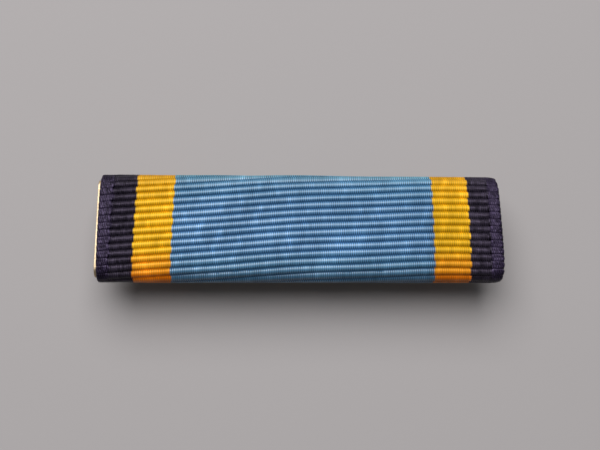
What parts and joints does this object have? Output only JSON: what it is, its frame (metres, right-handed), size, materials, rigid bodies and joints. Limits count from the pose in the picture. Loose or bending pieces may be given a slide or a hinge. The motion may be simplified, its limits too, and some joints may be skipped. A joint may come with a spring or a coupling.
{
  "type": "service ribbon bar",
  "caption": "Slim rounded bar: striped ribbon on a metal channel plate that slides onto a holder with a hinged needle and a turning safety catch.",
  "frame": {"origin": "centre of the bar's outline, on the surface that its back hardware rests on", "axes": "+X along the bar towards the catch end, +Y to the bar's upper long edge, +Z out of the ribbon's face"},
  "size_m": [0.0352, 0.0096, 0.0055],
  "materials": {
    "ribbon_cloth": "striped grosgrain: navy, golden yellow and light blue",
    "plate_brass": "satin",
    "holder_brass": "satin",
    "fitting_brass": "polished",
    "rivet_brass": "polished",
    "needle_steel": "bright nickel-plated"
  },
  "bodies": {
    "holder": {"slide_rail": "holder_brass", "base_strip": "holder_brass", "rivets": "rivet_brass", "hinge_bracket": "fitting_brass", "hinge_rivet": "rivet_brass", "catch_housing": "fitting_brass"},
    "ribbon_unit": {"ribbon": "ribbon_cloth", "front_plate": "plate_brass"},
    "pin": {"pin_stem": "needle_steel"},
    "roller": {"catch_roller": "fitting_brass"}
  },
  "joints": [
    {"name": "ribbon_slide", "type": "slide", "parent": "holder", "child": "ribbon_unit", "axis": [1, 0, 0], "range_m": [-0.036, 0.036]},
    {"name": "pin_swing", "type": "hinge", "parent": "holder", "child": "pin", "pos_m": [-0.012, 0, 0.0011], "axis": [0, 1, 0], "range_deg": [0, 100]},
    {"name": "catch_turn", "type": "hinge", "parent": "holder", "child": "roller", "pos_m": [0.012, 0, 0.0011], "axis": [-1, 0, 0], "range_deg": [0, 100]}
  ]
}
